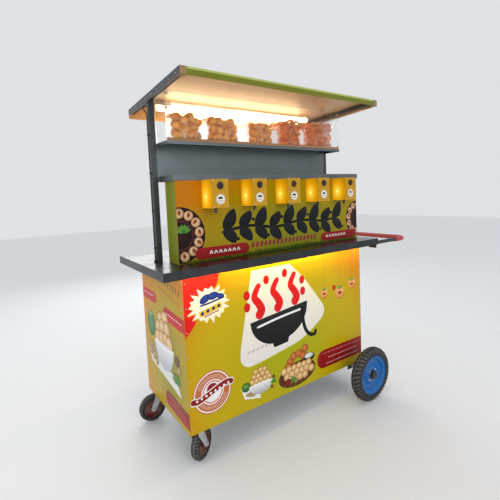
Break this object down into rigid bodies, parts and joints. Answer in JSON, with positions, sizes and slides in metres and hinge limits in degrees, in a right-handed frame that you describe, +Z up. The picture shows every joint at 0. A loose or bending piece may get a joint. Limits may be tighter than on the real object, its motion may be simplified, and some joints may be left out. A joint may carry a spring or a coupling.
{
  "type": "push vending cart",
  "caption": "Push vending cart with spouts for flavoured water, a snack display behind clear sheets, a steel counter, a roof, big wheels and swivel casters.",
  "frame": {"origin": "on the ground, under the middle of the cart's bounding box", "axes": "+X along the cart towards the push handle, +Y from the customer's side to the seller's side, +Z up"},
  "size_m": [1.7796, 0.871, 1.766],
  "materials": {
    "frame_paint": "satin black",
    "printed_panel": "gloss laminated print",
    "stainless": "brushed",
    "galvanised": "dull zinc",
    "dispenser_yellow": "gloss",
    "button_black": "gloss",
    "black_plastic": "matte",
    "tank_plastic": "translucent white",
    "lid_plastic": "matte",
    "hose_rubber": "matte",
    "clear_sheet": "clear",
    "snack_bag": "clear film over fried snacks",
    "roof_paint": "satin",
    "fascia_green": "gloss",
    "light_glow": "lit",
    "warm_strip": "lit",
    "white_plastic": "satin",
    "grip_red": "satin",
    "wheel_blue": "gloss",
    "caster_red": "satin",
    "tyre_rubber": "matte"
  },
  "bodies": {
    "chassis": {"axle": "galvanised", "back_panel": "stainless", "base_frame": "frame_paint", "cabinet_floor": "galvanised", "caster_bolts": "galvanised", "caster_plates": "galvanised", "counter_light_strip": "warm_strip", "counter_top": "stainless", "dispenser_boxes": "dispenser_yellow", "dispenser_ledge": "stainless", "door_tracks": "galvanised", "feed_hoses": "hose_rubber", "flavour_tanks": "tank_plastic", "front_panel": "printed_panel", "handle_grip": "grip_red", "housing_back": "stainless", "housing_front": "printed_panel", "lamp_cable": "black_plastic", "left_panel": "printed_panel", "light_fitting": "white_plastic", "mid_shelf": "galvanised", "nozzles": "stainless", "power_box": "black_plastic", "pumps": "black_plastic", "puri_bags": "snack_bag", "push_handle": "stainless", "rear_posts": "stainless", "right_panel": "printed_panel", "ring_bags": "snack_bag", "roof_bearers": "frame_paint", "roof_fascia": "fascia_green", "roof_sheet": "roof_paint", "showcase": "clear_sheet", "switch_body": "black_plastic", "tank_lids": "lid_plastic", "tube_light": "light_glow", "upper_frame": "frame_paint", "upper_shelf": "stainless"},
    "front_caster": {"front_caster_fork": "galvanised", "front_caster_axle": "galvanised"},
    "front_caster_wheel": {"front_caster_rim": "caster_red", "front_caster_tyre": "tyre_rubber"},
    "front_wheel": {"front_wheel_hub": "black_plastic", "front_wheel_disc": "wheel_blue", "front_wheel_tyre": "tyre_rubber"},
    "back_caster": {"back_caster_fork": "galvanised", "back_caster_axle": "galvanised"},
    "back_caster_wheel": {"back_caster_rim": "caster_red", "back_caster_tyre": "tyre_rubber"},
    "back_wheel": {"back_wheel_hub": "black_plastic", "back_wheel_disc": "wheel_blue", "back_wheel_tyre": "tyre_rubber"},
    "push_button_1": {"button_1": "button_black"},
    "push_button_2": {"button_2": "button_black"},
    "push_button_3": {"button_3": "button_black"},
    "push_button_4": {"button_4": "button_black"},
    "push_button_5": {"button_5": "button_black"},
    "rocker": {"power_switch": "button_black"},
    "sliding_door_left": {"left_door": "galvanised"},
    "sliding_door_right": {"right_door": "galvanised"}
  },
  "joints": [
    {"name": "front_caster_swivel", "type": "hinge", "parent": "chassis", "child": "front_caster", "pos_m": [-0.7378, -0.2325, 0.16], "axis": [0, 0, 1], "continuous": true},
    {"name": "front_caster_roll", "type": "hinge", "parent": "front_caster", "child": "front_caster_wheel", "pos_m": [-0.70006, -0.20799, 0.075], "axis": [-0.5446, 0.8387, 0], "continuous": true},
    {"name": "front_wheel_roll", "type": "hinge", "parent": "chassis", "child": "front_wheel", "pos_m": [0.3372, -0.4025, 0.159], "axis": [0, 1, 0], "continuous": true},
    {"name": "back_caster_swivel", "type": "hinge", "parent": "chassis", "child": "back_caster", "pos_m": [-0.7378, 0.2325, 0.16], "axis": [0, 0, 1], "continuous": true},
    {"name": "back_caster_roll", "type": "hinge", "parent": "back_caster", "child": "back_caster_wheel", "pos_m": [-0.78269, 0.23564, 0.075], "axis": [-0.0698, -0.9976, 0], "continuous": true},
    {"name": "back_wheel_roll", "type": "hinge", "parent": "chassis", "child": "back_wheel", "pos_m": [0.3372, 0.4025, 0.159], "axis": [0, 1, 0], "continuous": true},
    {"name": "button_1_push", "type": "slide", "parent": "chassis", "child": "push_button_1", "axis": [0, 1, 0], "range_m": [0, 0.003], "stiffness_N_per_m": 200},
    {"name": "button_2_push", "type": "slide", "parent": "chassis", "child": "push_button_2", "axis": [0, 1, 0], "range_m": [0, 0.003], "stiffness_N_per_m": 200},
    {"name": "button_3_push", "type": "slide", "parent": "chassis", "child": "push_button_3", "axis": [0, 1, 0], "range_m": [0, 0.003], "stiffness_N_per_m": 200},
    {"name": "button_4_push", "type": "slide", "parent": "chassis", "child": "push_button_4", "axis": [0, 1, 0], "range_m": [0, 0.003], "stiffness_N_per_m": 200},
    {"name": "button_5_push", "type": "slide", "parent": "chassis", "child": "push_button_5", "axis": [0, 1, 0], "range_m": [0, 0.003], "stiffness_N_per_m": 200},
    {"name": "power_switch_tilt", "type": "hinge", "parent": "chassis", "child": "rocker", "pos_m": [0.3412, -0.0845, 1.202], "axis": [1, 0, 0], "range_deg": [-7, 7]},
    {"name": "left_door_slide", "type": "slide", "parent": "chassis", "child": "sliding_door_left", "axis": [1, 0, 0], "range_m": [0, 0.535]},
    {"name": "right_door_slide", "type": "slide", "parent": "chassis", "child": "sliding_door_right", "axis": [1, 0, 0], "range_m": [-0.535, 0]}
  ]
}
